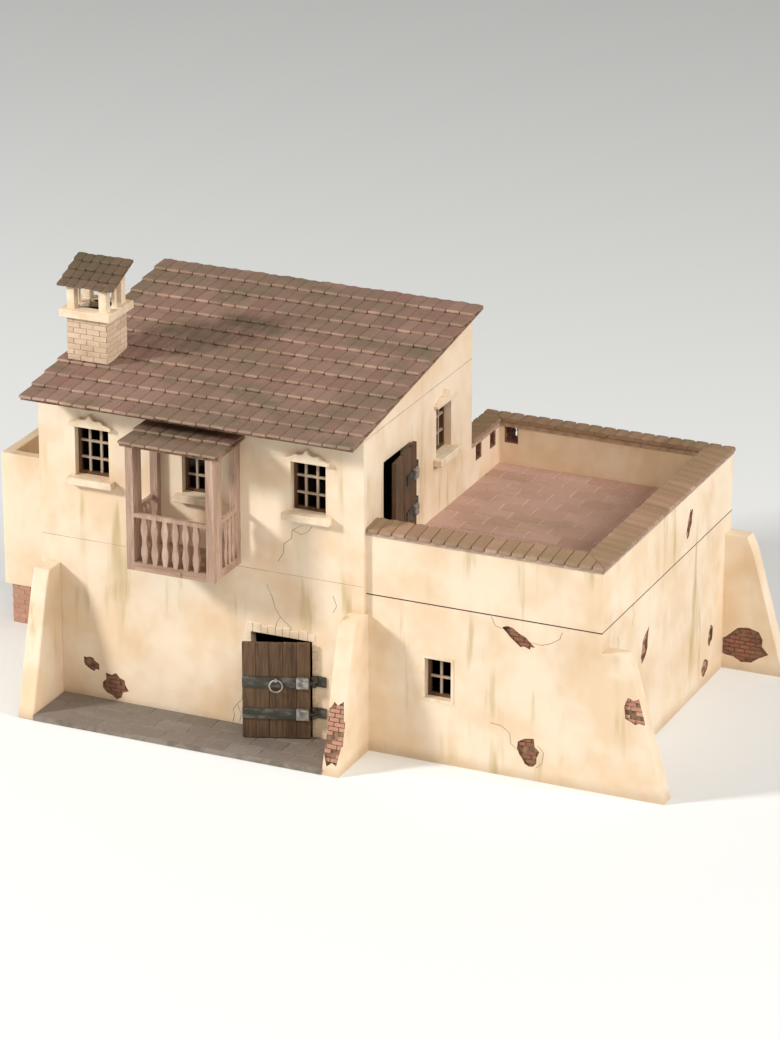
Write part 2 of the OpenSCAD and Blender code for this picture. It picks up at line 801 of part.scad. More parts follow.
// Ring handle that hangs from a boss on the upper strap
module door_ring() {
    face = -leaf_t / 2 - strap_t;
    ring_out = face - ring_bar_r - cut / 20;
    boss_z = strap_high + strap_h / 4;
    color(dark_iron) at_door() rotate([0, 0, door_ajar])
        translate([-hinge_side - leaf_w / 2, 0, boss_z]) {
            translate([0, face, 0]) rotate([90, 0, 0]) cylinder(h = 3 * ring_bar_r, r = 2 * ring_bar_r, $fn = 48);
            translate([0, ring_out, -ring_r]) rotate([90, 0, 0])
                rotate_extrude($fn = 48) translate([ring_r, 0]) circle(r = ring_bar_r, $fn = 24);
        }
}

module at_terrace_door() {
    translate([right_x + hinge_out, terrace_door_back + hinge_side, floor_z + leaf_gap])
        rotate([0, 0, 90]) children();
}

module terrace_door() {
    color(dark_timber) at_terrace_door() rotate([0, 0, terrace_ajar]) leaf(terrace_leaf_w, terrace_leaf_h);
}

// The terrace door's hinges, each one with its pin fast in all its knuckles
module terrace_hinges() {
    color(dark_iron) at_terrace_door()
        for (z = [terrace_strap_low, terrace_strap_high]) translate([0, 0, z]) {
            rotate([0, 0, terrace_ajar]) strap(terrace_leaf_w / 2);
            bracket();
            cylinder(h = strap_h, r = pin_r + 2 * pin_clear, center = true, $fn = 48);
        }
}

// Open tray of the side bay: walls down to the plinth, and a floor below the rim
module bay_tray() {
    back = bay_front + bay_d;
    tray_floor = bay_top - bay_hollow;
    color(plaster) difference() {
        block([bay_left, bay_front, plinth_h], [left_x, back, bay_top]);
        block([bay_left + bay_t, bay_front + bay_t, tray_floor], [left_x - bay_t, back - bay_t, bay_top + cut]);
        block([bay_left + bay_t, bay_front + bay_t, plinth_h - cut],
              [left_x - bay_t, back - bay_t, tray_floor - bay_t]);
    }
}

// Brick plinth of the side bay, hollow like the block above it
module bay_plinth() {
    back = bay_front + bay_d - plinth_inset;
    front = bay_front + plinth_inset / 3;
    inner = bay_t + plinth_inset;
    color(brick_red) difference() {
        block([bay_left + plinth_inset, front, 0], [left_x, back, plinth_h]);
        block([bay_left + plinth_inset + inner, front + inner, -cut],
              [left_x - inner, back - inner, plinth_h + cut]);
    }
}

base_floor();
pavement();
ground_front_wall_left();
ground_front_wall_right();
ground_front_lintel();
ground_left_wall();
ground_right_wall();
ground_back_wall();
storey_plate();
upper_front_wall();
upper_left_wall();
upper_right_wall();
upper_back_wall();
roof_gables();
roof_tiles();
chimney_stack();
chimney_lantern();
chimney_roof();
side_front_wall();
side_right_wall();
side_back_wall();
side_left_wall();
terrace_floor();
parapet_front();
parapet_right();
parapet_back();
parapet_left();
coping_front();
coping_right();
coping_back();
coping_left();
buttress_front_left();
buttress_front_right();
buttress_side_front();
buttress_side_back();
window_frames();
window_sills();
window_pediments();
balcony_floor();
balcony_posts();
balcony_rails();
balcony_roof();
terrace_door();
terrace_hinges();
door_leaf();
door_straps();
door_ring();
door_brackets();
bay_tray();
bay_plinth();
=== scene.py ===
"""Looks of the model farmhouse: finishes, roof tiles, bricks, planks, window bars and weathering."""
import json
import math
import random

import bmesh
import bpy
from mathutils import Matrix, Vector


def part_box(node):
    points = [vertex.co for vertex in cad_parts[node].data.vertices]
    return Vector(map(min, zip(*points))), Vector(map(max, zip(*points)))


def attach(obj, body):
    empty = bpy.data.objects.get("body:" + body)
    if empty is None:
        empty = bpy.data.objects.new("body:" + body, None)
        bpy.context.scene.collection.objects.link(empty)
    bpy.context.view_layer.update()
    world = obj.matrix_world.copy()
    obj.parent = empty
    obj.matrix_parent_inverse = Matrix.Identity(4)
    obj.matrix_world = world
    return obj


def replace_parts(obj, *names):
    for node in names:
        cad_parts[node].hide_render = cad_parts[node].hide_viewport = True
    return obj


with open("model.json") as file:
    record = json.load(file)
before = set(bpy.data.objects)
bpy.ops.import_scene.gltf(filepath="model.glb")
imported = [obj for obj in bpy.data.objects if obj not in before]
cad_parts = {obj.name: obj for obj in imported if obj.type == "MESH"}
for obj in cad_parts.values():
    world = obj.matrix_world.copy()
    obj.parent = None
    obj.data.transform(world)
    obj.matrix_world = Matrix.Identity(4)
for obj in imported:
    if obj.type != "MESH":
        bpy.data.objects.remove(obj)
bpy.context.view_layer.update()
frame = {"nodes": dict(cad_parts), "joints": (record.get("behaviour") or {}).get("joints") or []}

MM = 0.001
HOUSE = "house"
DOOR = "door"


# ---------------------------------------------------------------- finishes

class Field:
    """A value or colour that varies over a surface."""

    def __init__(self, finish, socket):
        self.finish = finish
        self.socket = socket

    def maths(self, operation, first, second):
        return self.finish.add("ShaderNodeMath", {"operation": operation}, {0: first, 1: second})

    def __add__(self, other):
        return self.maths("ADD", self, other)

    def __sub__(self, other):
        return self.maths("SUBTRACT", self, other)

    def __rsub__(self, other):
        return self.maths("SUBTRACT", other, self)

    def __mul__(self, other):
        return self.maths("MULTIPLY", self, other)

    def __gt__(self, other):
        return self.maths("GREATER_THAN", self, other)

    def __lt__(self, other):
        return self.maths("LESS_THAN", self, other)

    __radd__ = __add__
    __rmul__ = __mul__


class Finish:
    """A painted surface: a material with one shader and the fields that feed it."""

    def __init__(self, name, roughness=0.85):
        self.material = bpy.data.materials.new(name)
        self.material.use_nodes = True
        self.tree = self.material.node_tree
        self.shader = self.tree.nodes["Principled BSDF"]
        self.shader.inputs["Roughness"].default_value = roughness
        self.shader.inputs["Specular IOR Level"].default_value = 0.3
        self.place = self.add("ShaderNodeTexCoord", {}, {}, "Object")

    def add(self, kind, settings, sockets, out=0):
        node = self.tree.nodes.new(kind)
        for key, value in settings.items():
            setattr(node, key, value)
        for key, value in sockets.items():
            self.feed(node.inputs[key], value)
        return Field(self, node.outputs[out])

    def axes(self):
        """The place along X, Y and Z, as three fields."""
        node = self.add("ShaderNodeSeparateXYZ", {}, {0: self.place}).socket.node
        return [Field(self, socket) for socket in node.outputs]

    def feed(self, socket, value):
        if isinstance(value, Field):
            self.tree.links.new(value.socket, socket)
        else:
            socket.default_value = value

    def noise(self, size, detail=3, roughness=0.55, stretch=(1, 1, 1), shift=0.0):
        """Soft noise with features of a size in millimetres, stretched along an axis."""
        scale = [1 / (size * MM * s) for s in stretch]
        place = self.add("ShaderNodeMapping", {}, {
            "Vector": self.place, "Scale": scale, "Location": (shift, shift, shift)})
        return self.add("ShaderNodeTexNoise", {}, {
            "Vector": place, "Scale": 1.0, "Detail": detail, "Roughness": roughness})

    def step(self, field, low, high):
        """0 below low, 1 above high, and smooth between them."""
        return self.add("ShaderNodeMapRange", {"interpolation_type": "SMOOTHSTEP"}, {
            "Value": field, "From Min": low, "From Max": high})

    def mix(self, mask, first, second):
        """The second colour where the mask is 1, the first where it is 0."""
        colours = [c if isinstance(c, Field) else (*c, 1.0) for c in (first, second)]
        return self.add("ShaderNodeMix", {"data_type": "RGBA"}, {
            0: mask, 6: colours[0], 7: colours[1]}, 2)

    def island(self):
        """A random number for each separate tile, brick or plank."""
        return self.add("ShaderNodeNewGeometry", {}, {}, "Random Per Island")

    def bump(self, height, distance, strength=1.0):
        field = self.add("ShaderNodeBump", {}, {
            "Height": height, "Distance": distance * MM, "Strength": strength})
        self.feed(self.shader.inputs["Normal"], field)

    def colour(self, field):
        self.feed(self.shader.inputs["Base Color"], field)
        return self.material


def within(axes, low, high):
    """1 inside a box given in metres, 0 outside it."""
    mask = None
    for axis, a, b in zip(axes, low, high):
        inside = (axis > a) * (axis < b)
        mask = inside if mask is None else mask * inside
    return mask


CREAM = (0.78, 0.61, 0.425)
CREAM_PALE = (0.84, 0.72, 0.565)
CREAM_DEEP = (0.60, 0.385, 0.20)
STAIN = (0.46, 0.36, 0.15)
DIRT = (0.33, 0.21, 0.11)
# Painted shade: the near-black colour of the inner faces, for the shade inside the house.
ROOM_SHADE = (0.035, 0.024, 0.017)


def plaster_finish():
    """Cream plaster with warm clouds, yellow runs below the ledges, and painted shade: near-black inner faces
    inside the house.
    """
    f = Finish("cream_plaster", 0.9)
    clouds = f.noise(26, 3, 0.6)
    colour = f.mix(f.step(clouds, 0.36, 0.66), CREAM_PALE, CREAM)
    warm = f.noise(24, 3, 0.55, (1, 1, 1.8), 3.1)
    colour = f.mix(f.step(warm, 0.5, 0.74) * 0.42, colour, CREAM_DEEP)
    runs = f.step(f.noise(7, 3, 0.55, (1, 1, 9), 7.7), 0.56, 0.74)
    spread = f.step(f.noise(40, 2, 0.5, (1, 1, 1), 1.3), 0.42, 0.62)
    colour = f.mix(runs * spread * 0.75, colour, STAIN)
    specks = f.step(f.noise(2.2, 3, 0.6), 0.7, 0.78)
    colour = f.mix(specks * 0.15, colour, DIRT)
    axes = f.axes()
    foot = 1 - f.step(axes[2] + f.noise(9, 3, 0.6) * (4 * MM), 2 * MM, 8 * MM)
    colour = f.mix(foot * 0.35, colour, DIRT)
    # Painted shade: inside the house the plaster turns near black, standing in for the shade seen through the
    # openings.
    room_shade = within(axes, ROOM_LOW, ROOM_HIGH) + within(axes, SIDE_ROOM_LOW, SIDE_ROOM_HIGH)
    colour = f.mix(room_shade, colour, ROOM_SHADE)
    grain = f.noise(1.1, 4, 0.6) * 0.5 + f.noise(9, 3, 0.5)
    f.bump(grain, 0.35, 0.55)
    return f.colour(colour)


def stone_finish(name, light, dark, size=5.0):
    """Painted stone or mortar: two tones of cream with fine grain."""
    f = Finish(name, 0.88)
    colour = f.mix(f.step(f.noise(size, 4, 0.6), 0.38, 0.68), light, dark)
    f.bump(f.noise(0.8, 3, 0.6), 0.2, 0.5)
    return f.colour(colour)


def tile_finish(name, tones, dust, size=6.0):
    """Clay tiles: each tile has its own tone, with dust and lichen over several of them."""
    f = Finish(name, 0.8)
    pick = f.island()
    colour = f.mix(f.step(pick, 0.05, 0.95), tones[0], tones[1])
    patch = f.step(f.noise(size * 5, 3, 0.6), 0.42, 0.6)
    colour = f.mix(patch * 0.75, colour, tones[2])
    lichen = f.step(f.noise(size * 2.2, 4, 0.65, (2.2, 1, 1), 4.4), 0.5, 0.68)
    colour = f.mix(lichen * 0.7, colour, tones[3])
    powder = f.step(f.noise(size * 0.35, 4, 0.7), 0.54, 0.78)
    colour = f.mix(powder * 0.5, colour, dust)
    f.bump(f.noise(0.9, 4, 0.6), 0.3, 0.6)
    return f.colour(colour)


def wood_finish(name, light, dark, along, worn=0.5, roughness=0.75):
    """Timber with its grain along one axis, and a tone of its own for each board."""
    f = Finish(name, roughness)
    grain = f.noise(0.7, 4, 0.65, along)
    broad = f.noise(4, 2, 0.5, along, 2.2)
    tone = f.step(grain * 0.55 + broad * 0.45, 0.36, 0.66)
    colour = f.mix(tone, dark, light)
    colour = f.mix(f.island() * worn, colour, [c * 0.55 for c in light])
    f.bump(grain, 0.25, 0.6)
    return f.colour(colour)


def iron_finish():
    """Dark blue-green iron with bare, brighter spots."""
    f = Finish("dark_iron", 0.55)
    bare = f.step(f.noise(3.4, 4, 0.6, (2.5, 1, 1)), 0.44, 0.68)
    f.shader.inputs["Metallic"].default_value = 0.35
    f.bump(f.noise(0.7, 3, 0.6), 0.15, 0.5)
    return f.colour(f.mix(bare * 0.7, (0.062, 0.060, 0.050), (0.21, 0.20, 0.175)))


def plain_finish(name, light, dark, size, roughness=0.85, metallic=0.0):
    """Two tones in soft clouds."""
    f = Finish(name, roughness)
    f.shader.inputs["Metallic"].default_value = metallic
    f.bump(f.noise(1.0, 3, 0.6), 0.2, 0.5)
    return f.colour(f.mix(f.step(f.noise(size, 4, 0.6), 0.4, 0.65), light, dark))


# ---------------------------------------------------------------- places from the frame

front_wall_low, front_wall_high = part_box("upper_front_wall")
plate_low, plate_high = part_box("storey_plate")
side_front_low, side_front_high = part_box("side_front_wall")
LEFT_X, RIGHT_X = front_wall_low.x, front_wall_high.x
FRONT_Y, BACK_Y = plate_low.y, plate_high.y
FLOOR_Z = plate_high.z
SEAM_Z = plate_low.z
BAND_Z = front_wall_low.z
WALL_TOP = front_wall_high.z
SIDE_Y, END_X = side_front_low.y, side_front_high.x
SIDE_BACK_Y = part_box("side_back_wall")[1].y
WALL_T = front_wall_high.y - front_wall_low.y

# The painted shade inside the house reaches a little into the walls round it, so that no inner face stays
# cream.
INSET = WALL_T - 0.7 * MM
ROOM_FOOT = 0.5 * MM
ROOM_TOP = 160 * MM
ROOM_LOW = (LEFT_X + INSET, FRONT_Y + INSET, ROOM_FOOT)
ROOM_HIGH = (RIGHT_X - INSET, BACK_Y - INSET, ROOM_TOP)
SIDE_ROOM_LOW = (RIGHT_X - 0.3 * MM, SIDE_Y + INSET, ROOM_FOOT)
SIDE_ROOM_HIGH = (END_X - INSET, SIDE_BACK_Y - INSET, FLOOR_Z - 4 * MM)

PLASTER = plaster_finish()
TRIM = stone_finish("pale_stone", (0.82, 0.70, 0.54), (0.72, 0.57, 0.40), 6.0)
MORTAR = stone_finish("mortar", (0.50, 0.38, 0.28), (0.36, 0.26, 0.19), 3.0)
CHIMNEY_BRICK = tile_finish("chimney_brick", [
    (0.72, 0.57, 0.43), (0.58, 0.44, 0.315), (0.66, 0.51, 0.37), (0.52, 0.40, 0.27)],
    (0.78, 0.67, 0.53), 3.0)
ROOF_TILE = tile_finish("roof_tile", [
    (0.25, 0.145, 0.115), (0.29, 0.185, 0.145), (0.20, 0.145, 0.10), (0.145, 0.128, 0.075)],
    (0.38, 0.265, 0.205))
# Painted highlight: the tile noses take a lighter copy of the clay, standing in for the light they catch.
TILE_END_HIGHLIGHT = tile_finish("roof_tile_end_painted_highlight", [
    (0.30, 0.20, 0.15), (0.46, 0.32, 0.24), (0.28, 0.19, 0.135), (0.22, 0.165, 0.105)],
    (0.52, 0.38, 0.29))
COPING_TILE = tile_finish("coping_tile", [
    (0.30, 0.185, 0.12), (0.37, 0.235, 0.155), (0.30, 0.205, 0.12), (0.25, 0.195, 0.10)],
    (0.44, 0.31, 0.215))
TERRACE_TILE = tile_finish("terrace_tile", [
    (0.50, 0.31, 0.25), (0.57, 0.375, 0.31), (0.46, 0.30, 0.235), (0.42, 0.285, 0.20)],
    (0.68, 0.51, 0.43), 9.0)
CAP_TILE = tile_finish("cap_tile", [
    (0.125, 0.085, 0.055), (0.165, 0.112, 0.075), (0.12, 0.092, 0.055), (0.10, 0.09, 0.045)],
    (0.22, 0.165, 0.11), 4.0)
GROUT = stone_finish("grout", (0.60, 0.47, 0.39), (0.46, 0.34, 0.28), 6.0)
STONE_BED = stone_finish("stone_bed", (0.26, 0.225, 0.19), (0.16, 0.135, 0.11), 5.0)
# Painted shade: dark brown on the sides of the holes in the plaster and on the board under the roof tiles,
# where shade falls.
BROKEN_EDGE_SHADE = stone_finish("broken_plaster_painted_shade", (0.30, 0.18, 0.11), (0.12, 0.07, 0.045), 2.0)
PAVING = tile_finish("paving_stone", [
    (0.185, 0.16, 0.14), (0.225, 0.198, 0.175), (0.20, 0.168, 0.145), (0.175, 0.155, 0.115)],
    (0.34, 0.29, 0.25), 8.0)
RED_BRICK = tile_finish("red_brick", [
    (0.47, 0.225, 0.155), (0.56, 0.32, 0.235), (0.45, 0.255, 0.18), (0.33, 0.175, 0.12)],
    (0.66, 0.45, 0.36), 3.0)
# Painted shade: a darker copy of the red brick, for bricks that lie in shadow.
SHADOWED_BRICK = tile_finish("shaded_brick", [
    (0.24, 0.10, 0.065), (0.33, 0.15, 0.10), (0.24, 0.12, 0.08), (0.15, 0.08, 0.05)],
    (0.38, 0.22, 0.16), 3.0)
OLD_TIMBER = wood_finish("old_timber", (0.56, 0.40, 0.31), (0.33, 0.21, 0.155), (1, 1, 12), 0.35)
BEAM_TIMBER = wood_finish("beam_timber", (0.50, 0.34, 0.25), (0.30, 0.19, 0.13), (12, 1, 1), 0.35)
PLANK = wood_finish("dark_plank", (0.165, 0.10, 0.056), (0.06, 0.034, 0.02), (1, 1, 14), 0.35, 0.7)
FRAME_WOOD = wood_finish("frame_wood", (0.17, 0.085, 0.045), (0.07, 0.035, 0.02), (1, 1, 10), 0.3)
BAR_WOOD = wood_finish("bar_wood", (0.50, 0.40, 0.30), (0.33, 0.25, 0.18), (1, 1, 10), 0.2)
IRON = iron_finish()
STEEL = plain_finish("worn_steel", (0.42, 0.41, 0.39), (0.16, 0.155, 0.145), 2.6, 0.4, 0.5)
# Painted shade: a near-black line standing in for the shade in the gap between modules.
CREVICE_SHADE = plain_finish("crevice_painted_shade", (0.075, 0.045, 0.028), (0.04, 0.026, 0.018), 3.0, 0.95)
CRACK = plain_finish("crack_line", (0.24, 0.16, 0.10), (0.50, 0.36, 0.24), 7.0, 0.95)
# Painted shade: the floor inside the house is near black, standing in for the shade in there.
ROOM_FLOOR_SHADE = plain_finish("room_floor_painted_shade", (0.075, 0.052, 0.036), (0.04, 0.028, 0.02), 12.0)


# ---------------------------------------------------------------- pieces

X_AXIS, Y_AXIS, Z_AXIS = Vector((1, 0, 0)), Vector((0, 1, 0)), Vector((0, 0, 1))


def shape_of(bm, name="shape"):
    """A mesh from a bmesh, to copy or to show."""
    mesh = bpy.data.meshes.new(name)
    bm.to_mesh(mesh)
    bm.free()
    return mesh


def placed(name, bm, *finishes):
    """An object from a bmesh whose place is already in its mesh."""
    bmesh.ops.recalc_face_normals(bm, faces=bm.faces)
    obj = bpy.data.objects.new(name, shape_of(bm, name))
    for finish in finishes:
        obj.data.materials.append(finish)
    bpy.context.scene.collection.objects.link(obj)
    return obj


def piece(name, bm, body, slot, *finishes):
    """A finished piece of the house, which moves with a body."""
    obj = placed(name, bm, *finishes)
    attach(obj, body)
    return obj


def box_into(bm, low, high):
    """Adds a box and returns its vertices."""
    size = [b - a for a, b in zip(low, high)]
    middle = [(a + b) / 2 for a, b in zip(low, high)]
    matrix = Matrix.Translation(middle) @ Matrix.Diagonal((*size, 1))
    return bmesh.ops.create_cube(bm, size=1, matrix=matrix)["verts"]


def ease(bm, edges, offset, segments):
    """Rounds some edges."""
    bmesh.ops.bevel(bm, geom=edges, offset=offset, segments=segments, profile=0.5,
                    affect="EDGES", material=-1)


def set_finish(verts, index):
    """Gives the faces round some vertices the piece's finish of that number."""
    for vert in verts:
        for face in vert.link_faces:
            face.material_index = index


def worn_box(low, high, offset, segments=1):
    """A shape: a box with all its edges eased."""
    bm = bmesh.new()
    box_into(bm, low, high)
    ease(bm, bm.edges[:], offset, segments)
    return shape_of(bm)


def copies_into(bm, shape, places):
    """Adds a copy of a shape at each place."""
    for place in places:
        before = len(bm.verts)
        bm.from_mesh(shape)
        bm.verts.ensure_lookup_table()
        bmesh.ops.transform(bm, matrix=place, verts=bm.verts[before:])


def frame_matrix(origin, right, up, out):
    """A face's own frame: x runs right along the face, y up it and z out of it."""
    matrix = Matrix((right, up, out)).transposed().to_4x4()
    matrix.translation = origin
    return matrix


def facing_front(x, y, z=0.0):
    """The frame of a face that looks forwards, from its lower left corner."""
    return frame_matrix(Vector((x, y, z)), X_AXIS, Z_AXIS, -Y_AXIS)


def facing_right(x, y, z=0.0):
    """The frame of a face that looks right, from its lower front corner."""
    return frame_matrix(Vector((x, y, z)), Y_AXIS, Z_AXIS, X_AXIS)


def shift(x=0.0, y=0.0, z=0.0):
    """A move along the axes."""
    return Matrix.Translation((x, y, z))


def turn(degrees, axis="Z"):
    """A turn about an axis."""
    return Matrix.Rotation(math.radians(degrees), 4, axis)


def paint(node, finish):
    """Gives a node of the frame one finish."""
    obj = frame["nodes"][node]
    obj.data.materials.clear()
    obj.data.materials.append(finish)


def merged(node):
    """A copy of a node's mesh with its loose triangles joined into flat faces."""
    bm = bmesh.new()
    bm.from_mesh(frame["nodes"][node].data)
    bmesh.ops.remove_doubles(bm, verts=bm.verts, dist=0.005 * MM)
    bmesh.ops.dissolve_limit(bm, angle_limit=math.radians(1), verts=bm.verts, edges=bm.edges)
    return bm


def soften(node, offset, slot, finish, segments=2):
    """A copy of a node with its sharp edges eased, shown in the node's place."""
    bm = merged(node)
    sharp = [e for e in bm.edges if len(e.link_faces) == 2 and e.calc_face_angle() > 0.5]
    bmesh.ops.bevel(bm, geom=sharp, offset=offset, segments=segments, profile=0.5,
                    affect="EDGES", material=-1, clamp_overlap=True)
    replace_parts(piece(node + "_eased", bm, HOUSE, slot, finish), node)


# ---------------------------------------------------------------- tiled roofs

# The share of its column that a tile fills, and the radius of the corners at its nose.
TILE_FILL = 0.994
TILE_NOSE = 0.65 * MM


def board_pitch(node, thickness):
    """The slope of a roof board that rises towards the back."""
    low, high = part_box(node)
    return math.atan2(high.z - low.z - thickness, high.y - low.y)


def tile_shape(width, length, thickness, nose):
    """A clay tile from its nose at y = 0: it is crowned across and its nose has round corners."""
    bm = bmesh.new()
    box_into(bm, (-width / 2, 0, 0), (width / 2, length, thickness))
    corners = [e for e in bm.edges if all(abs(v.co.y) < 1e-7 for v in e.verts)
               and abs(e.verts[0].co.z - e.verts[1].co.z) > 1e-7]
    ease(bm, corners, nose, 2)
    top = [e for e in bm.edges if all(v.co.z > thickness * 0.9 for v in e.verts)
           and not all(v.co.y > length * 0.9 for v in e.verts)]
    ease(bm, top, thickness * 0.55, 2)
    bmesh.ops.bisect_plane(bm, geom=bm.verts[:] + bm.edges[:] + bm.faces[:], dist=1e-7,
                           plane_co=(0, 0, 0), plane_no=(1, 0, 0))
    for vert in bm.verts:
        if vert.co.z > thickness * 0.9:
            vert.co.z -= thickness * 0.4 * (2 * vert.co.x / width) ** 2
    bm.normal_update()
    # The nose faces take the second finish, which on the main roof, the balcony roof and the copings is a
    # painted highlight.
    for face in bm.faces:
        centre = face.calc_center_median()
        face.material_index = 1 if centre.y < nose * 0.6 and face.normal.z < 0.8 else 0
    return shape_of(bm)


def tile_slope(name, node, thickness, tile, lap, courses, columns, finish, nose_finish, seed):
    """Courses of tiles in place of a sloping board. thickness is the board's, tile is the tiles'."""
    draw = random.Random(seed)
    low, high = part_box(node)
    pitch = board_pitch(node, thickness)
    run = (high.y - low.y) / math.cos(pitch)
    course = run / courses
    width = (high.x - low.x) / columns
    board = thickness * math.cos(pitch) - 2 * tile
    slope = shift(0, low.y, low.z) @ Matrix.Rotation(pitch, 4, "X")
    bm = bmesh.new()
    base = box_into(bm, (low.x, 2.2 * MM, 0), (high.x, run - board * math.tan(pitch), board))
    starter = box_into(bm, (low.x, 2.6 * MM, board), (high.x, course * 0.8, board + tile * 0.9))
    # The board and the starter under the tiles take the third finish, painted shade under the tiles.
    set_finish(base + starter, 2)
    bmesh.ops.transform(bm, matrix=slope, verts=bm.verts)
    shape = tile_shape(width * TILE_FILL, course + lap, tile, TILE_NOSE)
    last = tile_shape(width * TILE_FILL, course - 0.3 * MM, tile, TILE_NOSE)
    lift = math.atan2(tile, course)
    for row in range(courses):
        places = []
        for column in range(columns):
            x = low.x + (column + 0.5) * width
            place = shift(x, row * course + draw.uniform(0.05, 0.5) * MM, board + tile)
            wobble = turn(draw.uniform(-0.7, 0.7)) @ turn(draw.uniform(-0.9, 0.9), "Y")
            places.append(slope @ place @ Matrix.Rotation(-lift, 4, "X") @ wobble
                          @ shift(0, 0, -draw.uniform(0.0, 0.22) * MM))
        copies_into(bm, last if row == courses - 1 else shape, places)
    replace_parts(piece(name, bm, HOUSE, "roof_clay", finish, nose_finish, BROKEN_EDGE_SHADE), node)


ROOF_T = 3.2 * MM
tile_slope("main_roof_tiles", "roof_tiles", ROOF_T, 1.15 * MM, 2.0 * MM, 12, 24, ROOF_TILE, TILE_END_HIGHLIGHT, 5)
tile_slope("chimney_roof_tiles", "chimney_roof", 2.2 * MM, 0.8 * MM, 1.2 * MM, 4, 6, CAP_TILE, CAP_TILE, 9)
tile_slope("balcony_roof_tiles", "balcony_roof", 3.0 * MM, 1.0 * MM, 1.6 * MM, 2, 7, ROOF_TILE, TILE_END_HIGHLIGHT, 12)


# ---------------------------------------------------------------- coping tiles

COPING_OVER = 1.1 * MM
COPING_LOW = 3.0 * MM
COPING_HIGH = 4.2 * MM
COPING_TILE_T = 1.7 * MM
COPING_TILE_W = 5.6 * MM
COPING_FILL = 0.985
MITRE_GAP = 0.12 * MM
coping_low, coping_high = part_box("coping_front")
COPING_W = coping_high.y - coping_low.y
COPING_FOOT = coping_low.z


def mitre(bm, point, normal):
    """Cuts off what lies past a plane and closes the cut."""
    cut = bmesh.ops.bisect_plane(bm, geom=bm.verts[:] + bm.edges[:] + bm.faces[:], dist=1e-7,
                                 plane_co=point, plane_no=normal, clear_outer=True)
    rim = [e for e in cut["geom_cut"] if isinstance(e, bmesh.types.BMEdge)]
    bmesh.ops.holes_fill(bm, edges=rim, sides=0)


def coping_run(node, run, place, start_mitre, end_mitre, seed):
    """Tiles laid across a parapet on a bed of mortar, falling outwards, cut to a mitre at the corners."""
    draw = random.Random(seed)
    fall = math.atan2(COPING_HIGH - COPING_LOW, COPING_W)
    length = COPING_W / math.cos(fall)
    bm = bmesh.new()
    bed = box_into(bm, (0, COPING_OVER * 0.7, 0), (run, COPING_W - COPING_OVER * 0.7, 1))
    for vert in bed:
        if vert.co.z > 0.5:
            vert.co.z = COPING_LOW + vert.co.y * math.tan(fall) - COPING_TILE_T
    set_finish(bed, 2)
    count = max(1, round(run / COPING_TILE_W))
    width = run / count
    shape = tile_shape(width * COPING_FILL, length * COPING_FILL, COPING_TILE_T, 1.1 * MM)
    places = []
    for i in range(count):
        tilt = Matrix.Rotation(fall, 4, "X") @ turn(draw.uniform(-1, 1)) @ turn(draw.uniform(-1.2, 1.2), "Y")
        rise = COPING_LOW - COPING_TILE_T / math.cos(fall) - draw.uniform(0, 0.2) * MM
        places.append(shift((i + 0.5) * width, 0.25 * MM, rise) @ tilt)
    copies_into(bm, shape, places)
    if start_mitre:
        mitre(bm, (MITRE_GAP, 0, 0), (-1, 1, 0))
    if end_mitre:
        mitre(bm, (run - MITRE_GAP, 0, 0), (1, 1, 0))
    bmesh.ops.transform(bm, matrix=place, verts=bm.verts)
    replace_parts(piece(node + "_tiles", bm, HOUSE, "roof_clay", COPING_TILE, TILE_END_HIGHLIGHT, MORTAR), node)


coping_run("coping_front", coping_high.x - coping_low.x,
           shift(coping_low.x, coping_low.y, COPING_FOOT), False, True, 21)
low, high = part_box("coping_right")
coping_run("coping_right", high.y - low.y, shift(high.x, low.y, COPING_FOOT) @ turn(90), True, True, 22)
low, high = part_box("coping_back")
coping_run("coping_back", high.x - low.x, shift(high.x, high.y, COPING_FOOT) @ turn(180), True, True, 23)
low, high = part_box("coping_left")
coping_run("coping_left", high.y - low.y, shift(low.x, high.y, COPING_FOOT) @ turn(270), True, False, 24)


# ---------------------------------------------------------------- paving

# How far tiles, bricks and stones reach into what is behind them.
SEAT = 0.3 * MM


def paved(name, node, tile_x, tile_y, height, slot, finish, seed, margin=0.3 * MM):
    """Flat tiles in staggered rows, just proud of a bed."""
    draw = random.Random(seed)
    low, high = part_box(node)
    rows = max(1, round((high.y - low.y) / tile_y))
    depth = (high.y - low.y) / rows
    bm = bmesh.new()
    for row in range(rows):
        x = low.x - (tile_x / 2 if row % 2 else 0)
        while x < high.x - 0.5 * MM:
            a, b = max(x, low.x) + margin, min(x + tile_x, high.x) - margin
            if b - a > 1.5 * MM:
                top = high.z + height - draw.uniform(0, 0.35) * height
                bm.from_mesh(worn_box((a, low.y + row * depth + margin, high.z - SEAT),
                                      (b, low.y + (row + 1) * depth - margin, top), height * 0.6))
            x += tile_x
    piece(name, bm, HOUSE, slot, finish)


paved("terrace_tiles", "terrace_floor", 13.6 * MM, 8.2 * MM, 0.25 * MM, "terrace_clay", TERRACE_TILE, 31)
paved("pavement_stones", "pavement", 13.8 * MM, 8.8 * MM, 0.15 * MM, "pavement_stone", PAVING, 32)


# ---------------------------------------------------------------- brickwork

BRICK_SEAT = 0.4 * MM
BRICK_JOINT = 0.12 * MM
BRICK_WEAR = 0.12 * MM


